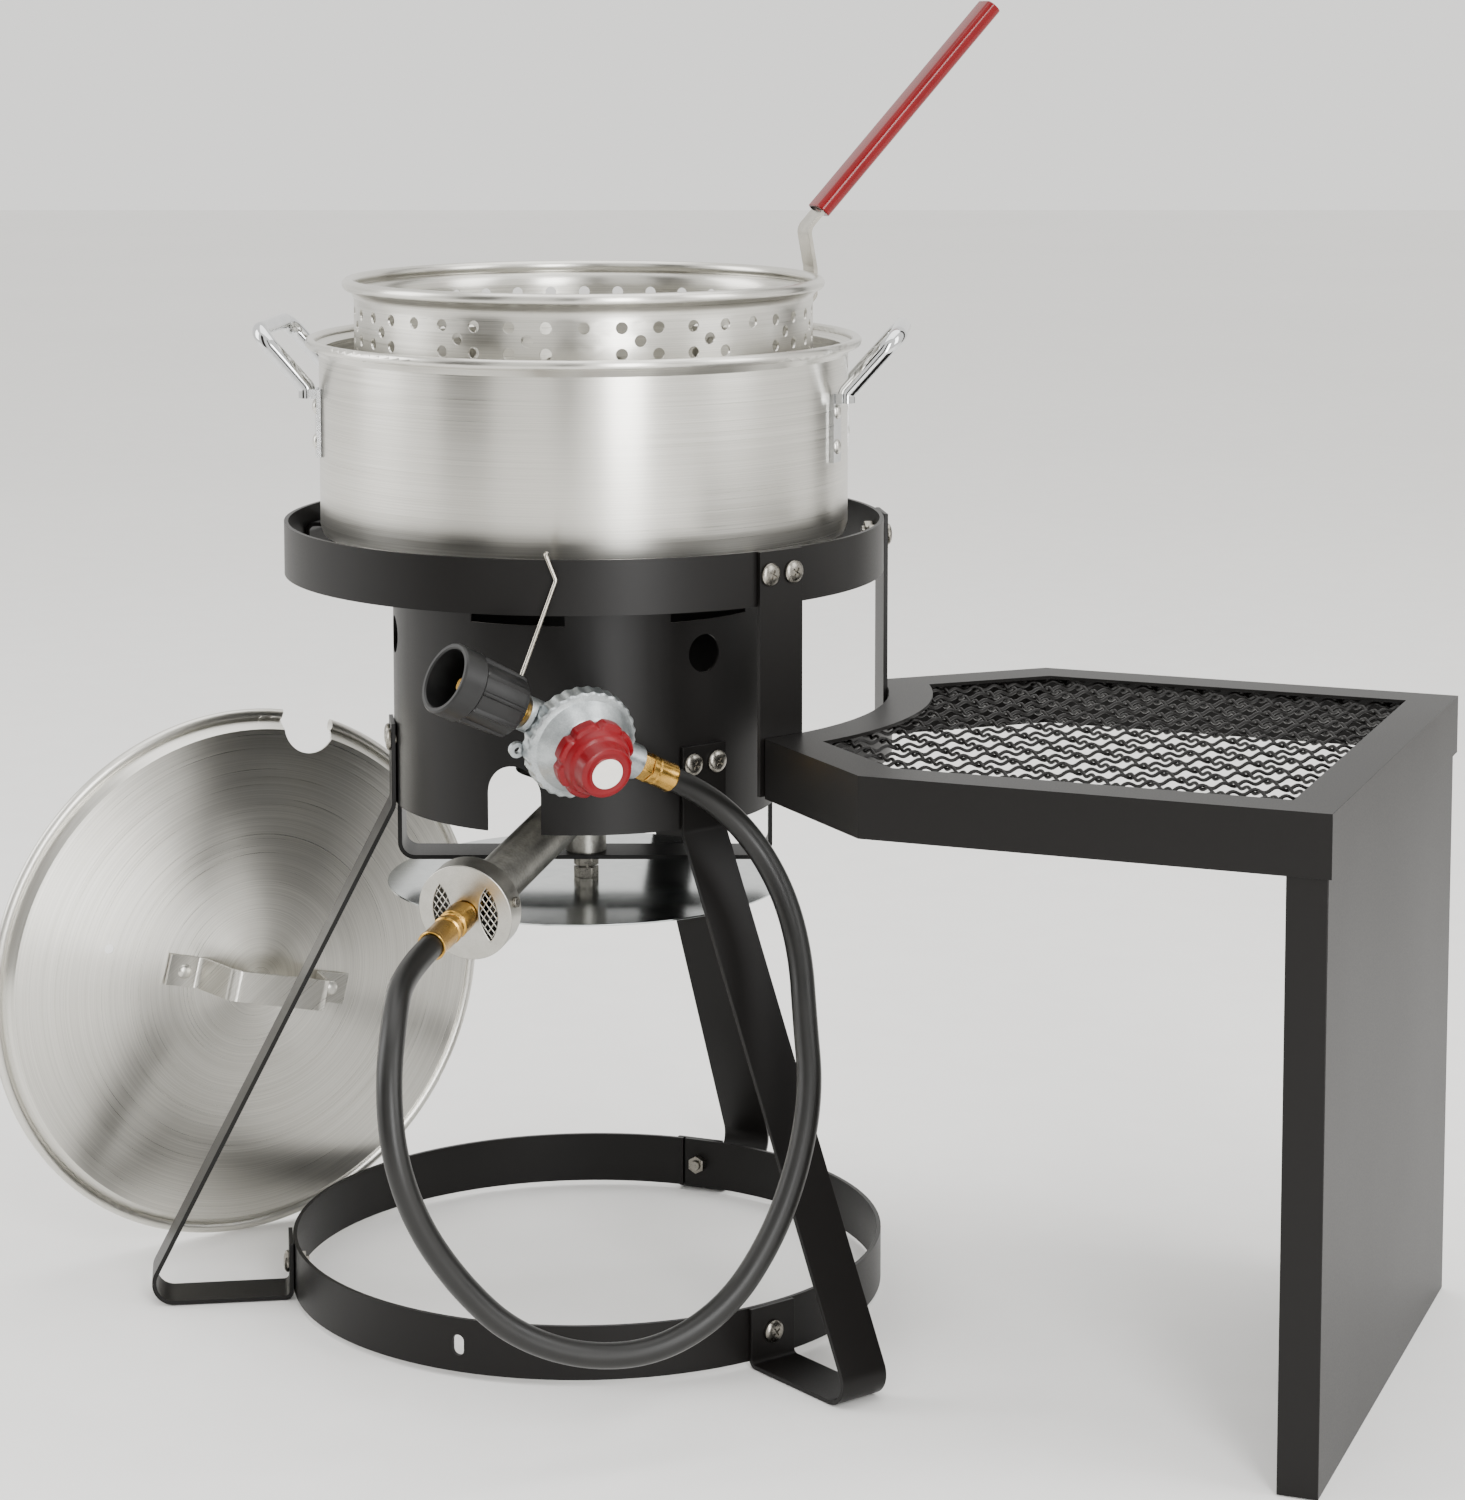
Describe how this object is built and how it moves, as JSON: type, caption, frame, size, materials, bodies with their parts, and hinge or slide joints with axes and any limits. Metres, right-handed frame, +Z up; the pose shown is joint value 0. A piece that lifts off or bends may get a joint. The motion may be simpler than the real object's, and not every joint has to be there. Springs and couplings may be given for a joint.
{
  "type": "turkey fryer kit",
  "caption": "Outdoor gas fryer: strip-steel burner stand with wind guard, hose and regulator, mesh side table, pot with side handles and a lift-out perforated basket, and a lid stood beside it.",
  "frame": {"origin": "on the stand's vertical axis, in the plane of the floor that the feet stand on", "axes": "+Z up, +X to the side that the table is on, -Y towards the burner's air shutter and the regulator"},
  "size_m": [0.8775, 0.5877, 0.7705],
  "materials": {
    "black_coat": "satin black powder coat",
    "zinc_screws": "zinc plated",
    "galvanised": "bright galvanised sheet",
    "cast_iron": "rough sand cast",
    "pressed_steel": "satin pressed steel",
    "brass": "turned brass",
    "rubber": "black rubber",
    "zinc_casting": "bluish die-cast zinc",
    "spring_wire": "drawn steel wire",
    "red_plastic": "moulded red plastic",
    "white_label": "plain white sticker",
    "black_plastic": "moulded black plastic",
    "spun_aluminium": "spun and brushed",
    "chrome": "bright chrome plate",
    "nickel_strip": "nickel plated strip",
    "red_vinyl": "dipped red vinyl"
  },
  "bodies": {
    "root": {"bottom_ring": "black_coat", "top_ring": "black_coat", "leg_front": "black_coat", "leg_rear": "black_coat", "leg_left": "black_coat", "leg_screws": "zinc_screws", "leg_nuts": "zinc_screws", "wind_guard": "black_coat", "pot_arm_front": "black_coat", "pot_arm_rear": "black_coat", "pot_arm_left": "black_coat", "arm_rivets": "zinc_screws", "burner_bracket": "black_coat", "bracket_rivets": "zinc_screws", "heat_shield": "galvanised", "burner_stud": "zinc_screws", "stud_nuts": "zinc_screws", "burner_casting": "cast_iron", "shutter_screen": "pressed_steel", "orifice_fitting": "brass", "hose_ferrule_burner": "brass", "regulator_body": "zinc_casting", "diaphragm": "rubber", "regulator_bonnet": "zinc_casting", "adjusting_spring": "spring_wire", "inlet_nipple": "brass", "outlet_fitting": "brass", "hose_ferrule_regulator": "brass", "hanger_wire": "spring_wire", "hose": "rubber", "table_frame": "black_coat", "table_mesh": "black_coat", "table_leg_panel": "black_coat", "hanger_strap_front": "black_coat", "hanger_strap_rear": "black_coat", "strap_screws": "zinc_screws", "strap_nuts": "zinc_screws"},
    "pot": {"pot_body": "spun_aluminium", "pot_handle_right": "chrome", "pot_handle_left": "chrome", "pot_rivets": "spun_aluminium"},
    "basket": {"basket_body": "spun_aluminium", "basket_handle": "nickel_strip", "basket_grip": "red_vinyl", "basket_rivets": "spun_aluminium"},
    "lid": {"lid_shell": "spun_aluminium", "lid_handle": "spun_aluminium", "lid_rivets": "spun_aluminium"},
    "knob": {"adjusting_knob": "red_plastic", "knob_label": "white_label"},
    "nut": {"cylinder_nut": "black_plastic"},
    "shutter": {"air_shutter": "pressed_steel", "shutter_screw": "zinc_screws"}
  },
  "joints": [
    {"name": "pot_lift", "type": "slide", "parent": "root", "child": "pot", "axis": [0, 0, 1], "range_m": [0, 0.3]},
    {"name": "basket_lift", "type": "slide", "parent": "pot", "child": "basket", "axis": [0, 0, 1], "range_m": [0, 0.25]},
    {"name": "lid_lift", "type": "slide", "parent": "root", "child": "lid", "axis": [-0.381, 0.5957, 0.7071], "range_m": [0, 0.3]},
    {"name": "knob_turn", "type": "hinge", "parent": "root", "child": "knob", "pos_m": [0.01499, -0.2067, 0.35936], "axis": [0.4196, -0.868, -0.2656], "range_deg": [0, 1080]},
    {"name": "nut_spin", "type": "hinge", "parent": "root", "child": "nut", "pos_m": [-0.04971, -0.20734, 0.39856], "axis": [-0.7452, -0.4965, 0.4452], "continuous": true},
    {"name": "shutter_turn", "type": "hinge", "parent": "root", "child": "shutter", "pos_m": [-0.05814, -0.15975, 0.268], "axis": [-0.3368, -0.9254, -0.1736], "range_deg": [0, 90]}
  ]
}
